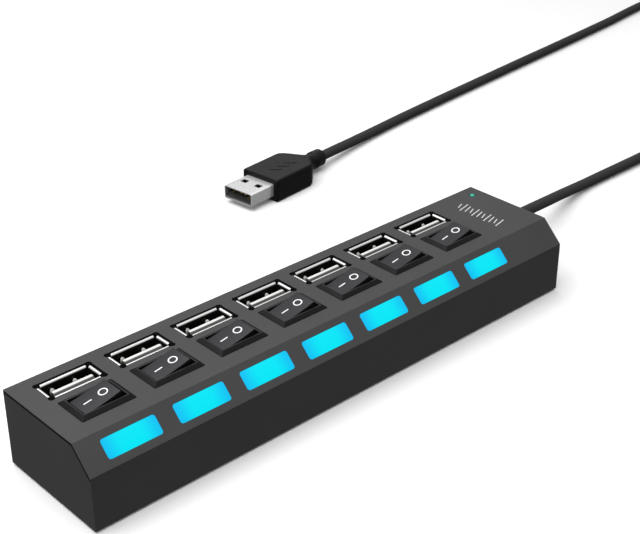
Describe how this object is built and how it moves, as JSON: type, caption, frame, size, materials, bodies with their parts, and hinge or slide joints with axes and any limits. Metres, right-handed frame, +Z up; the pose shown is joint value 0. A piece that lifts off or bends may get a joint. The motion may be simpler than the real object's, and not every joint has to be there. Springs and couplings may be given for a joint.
{
  "type": "usb hub",
  "caption": "Long dark hub with a row of top-facing sockets, a rocker switch and a lit window for each, and a thin lead that ends in a plug.",
  "frame": {"origin": "on the surface the feet stand on, below the middle of the hub without its lead", "axes": "+X along the hub towards the end where the lead leaves, +Y from the sloping front with the windows towards the sockets and the back, +Z up"},
  "size_m": [0.4457, 0.1412, 0.0234],
  "materials": {
    "housing": "fine matte texture, dark grey",
    "switch_housing": "satin black",
    "rocker": "satin black with white on and off marks",
    "window": "translucent cyan, lit from behind",
    "led": "clear blue epoxy",
    "power_light": "translucent green, lit",
    "shell_steel": "bright nickel plating",
    "insulator": "white moulded insulator with plated contacts",
    "board": "green solder mask",
    "chip": "black moulded package",
    "screw_steel": "zinc-plated",
    "foot_rubber": "matte",
    "cable_jacket": "black soft plastic, satin"
  },
  "bodies": {
    "hub": {"top_cover": "housing", "base_tray": "housing", "circuit_board": "board", "hub_controller": "chip", "port_shell_1": "shell_steel", "port_shell_2": "shell_steel", "port_shell_3": "shell_steel", "port_shell_4": "shell_steel", "port_shell_5": "shell_steel", "port_shell_6": "shell_steel", "port_shell_7": "shell_steel", "port_tongue_1": "insulator", "port_tongue_2": "insulator", "port_tongue_3": "insulator", "port_tongue_4": "insulator", "port_tongue_5": "insulator", "port_tongue_6": "insulator", "port_tongue_7": "insulator", "switch_frame_1": "switch_housing", "switch_frame_2": "switch_housing", "switch_frame_3": "switch_housing", "switch_frame_4": "switch_housing", "switch_frame_5": "switch_housing", "switch_frame_6": "switch_housing", "switch_frame_7": "switch_housing", "light_window_1": "window", "light_window_2": "window", "light_window_3": "window", "light_window_4": "window", "light_window_5": "window", "light_window_6": "window", "light_window_7": "window", "port_led_1": "led", "port_led_2": "led", "port_led_3": "led", "port_led_4": "led", "port_led_5": "led", "port_led_6": "led", "port_led_7": "led", "power_led": "power_light", "screw_1": "screw_steel", "screw_2": "screw_steel", "screw_3": "screw_steel", "screw_4": "screw_steel", "foot_1": "foot_rubber", "foot_2": "foot_rubber", "foot_3": "foot_rubber", "foot_4": "foot_rubber", "strain_relief": "cable_jacket", "cable": "cable_jacket", "plug_shell": "shell_steel", "plug_insulator": "insulator", "plug_overmold": "cable_jacket"},
    "rocker_1": {"switch_rocker_1": "rocker"},
    "rocker_2": {"switch_rocker_2": "rocker"},
    "rocker_3": {"switch_rocker_3": "rocker"},
    "rocker_4": {"switch_rocker_4": "rocker"},
    "rocker_5": {"switch_rocker_5": "rocker"},
    "rocker_6": {"switch_rocker_6": "rocker"},
    "rocker_7": {"switch_rocker_7": "rocker"}
  },
  "joints": [
    {"name": "rocker_1_tilt", "type": "hinge", "parent": "hub", "child": "rocker_1", "pos_m": [-0.0666, -0.00105, 0.0202], "axis": [0, 1, 0], "range_deg": [0, 24]},
    {"name": "rocker_2_tilt", "type": "hinge", "parent": "hub", "child": "rocker_2", "pos_m": [-0.04695, -0.00105, 0.0202], "axis": [0, 1, 0], "range_deg": [0, 24]},
    {"name": "rocker_3_tilt", "type": "hinge", "parent": "hub", "child": "rocker_3", "pos_m": [-0.0273, -0.00105, 0.0202], "axis": [0, 1, 0], "range_deg": [0, 24]},
    {"name": "rocker_4_tilt", "type": "hinge", "parent": "hub", "child": "rocker_4", "pos_m": [-0.00765, -0.00105, 0.0202], "axis": [0, 1, 0], "range_deg": [0, 24]},
    {"name": "rocker_5_tilt", "type": "hinge", "parent": "hub", "child": "rocker_5", "pos_m": [0.012, -0.00105, 0.0202], "axis": [0, 1, 0], "range_deg": [0, 24]},
    {"name": "rocker_6_tilt", "type": "hinge", "parent": "hub", "child": "rocker_6", "pos_m": [0.03165, -0.00105, 0.0202], "axis": [0, 1, 0], "range_deg": [0, 24]},
    {"name": "rocker_7_tilt", "type": "hinge", "parent": "hub", "child": "rocker_7", "pos_m": [0.0513, -0.00105, 0.0202], "axis": [0, 1, 0], "range_deg": [0, 24]}
  ]
}
